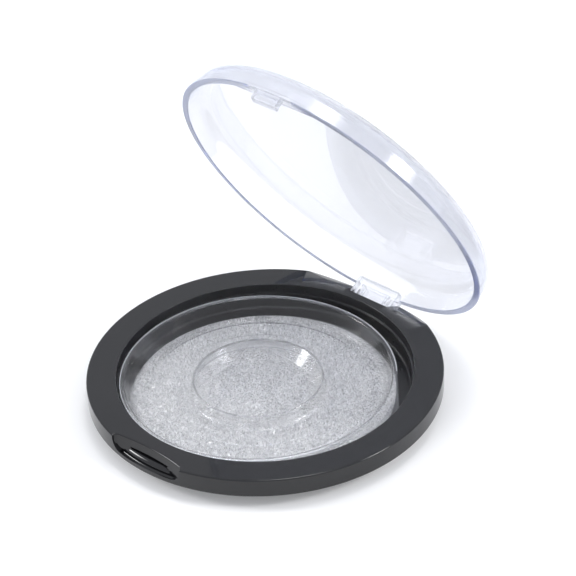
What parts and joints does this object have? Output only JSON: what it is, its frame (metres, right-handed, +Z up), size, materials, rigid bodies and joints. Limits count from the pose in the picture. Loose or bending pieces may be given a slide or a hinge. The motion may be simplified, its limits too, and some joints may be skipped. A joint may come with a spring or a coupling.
{
  "type": "round clear-lid cosmetic case",
  "caption": "Round flat cosmetic case: glossy black base, hinged clear lid, clear formed tray over a silver glitter card.",
  "frame": {"origin": "middle of the base's flat underside", "axes": "+Z up, +Y towards the hinge, -Y towards the thumb notch"},
  "size_m": [0.078, 0.0837, 0.0754],
  "materials": {
    "black_plastic": "glossy black",
    "clear_plastic": "clear, polished",
    "tray_plastic": "clear, thin formed sheet",
    "glitter_card": "silver glitter"
  },
  "bodies": {
    "base": {"base_shell": "black_plastic", "glitter_card": "glitter_card"},
    "lid": {"clear_lid": "clear_plastic"},
    "tray": {"lash_tray": "tray_plastic"}
  },
  "joints": [
    {"name": "lid_hinge", "type": "hinge", "parent": "base", "child": "lid", "pos_m": [0, 0.0369, 0.005], "axis": [-1, 0, 0], "range_deg": [-63.5, 51.5]},
    {"name": "tray_lift", "type": "slide", "parent": "base", "child": "tray", "axis": [0, 0, 1], "range_m": [0, 0.006]}
  ]
}
